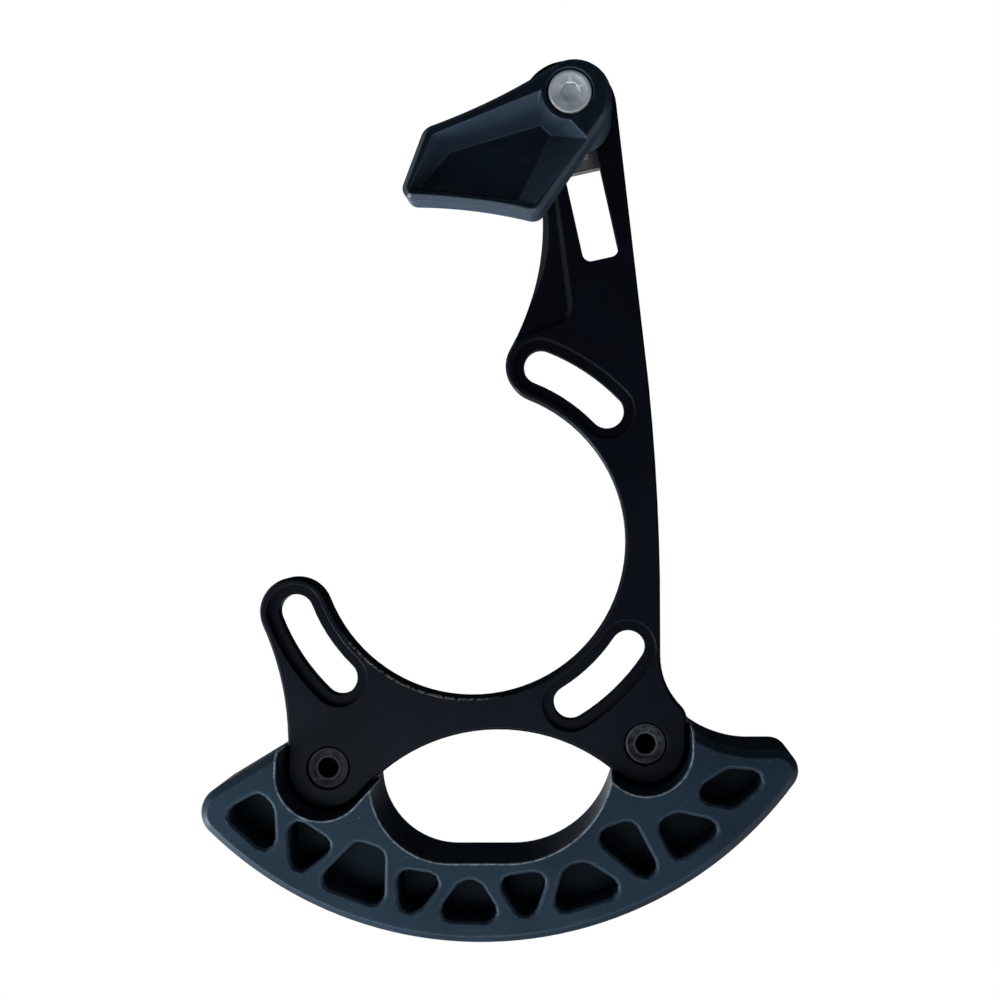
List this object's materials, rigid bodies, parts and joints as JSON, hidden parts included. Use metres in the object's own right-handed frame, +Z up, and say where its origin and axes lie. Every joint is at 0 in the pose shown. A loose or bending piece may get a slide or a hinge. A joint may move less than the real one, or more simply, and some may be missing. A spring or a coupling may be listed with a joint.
{
  "type": "bicycle chain guide",
  "caption": "Chain guide: a slotted backplate around a bottom bracket, a trussed bash guard below it and a dished upper guide that slides on a slotted arm.",
  "frame": {"origin": "on the bottom bracket axis, at the plate's rear face", "axes": "+Z up, +X towards the front of the bike, +Y inboard along the bottom bracket axis (outboard is -Y)"},
  "size_m": [0.1125, 0.035, 0.168],
  "materials": {
    "plate": "black anodised, satin",
    "guard": "moulded, satin",
    "guide": "moulded, glossy",
    "guard_bolt": "black oxide",
    "guide_bolt": "bright zinc",
    "nut": "zinc"
  },
  "bodies": {
    "frame_side": {"backplate": "plate", "bash_guard": "guard", "rear_guard_bolt": "guard_bolt", "front_guard_bolt": "guard_bolt", "rear_guard_nut": "nut", "front_guard_nut": "nut"},
    "upper_guide": {"upper_guide_outer": "guide", "upper_guide_inner": "guide", "guide_bolt": "guide_bolt", "guide_nut": "nut"}
  },
  "joints": [
    {"name": "guide_height", "type": "slide", "parent": "frame_side", "child": "upper_guide", "axis": [-0.2181, 0, 0.9759], "range_m": [-0.02, 0.0015]}
  ]
}
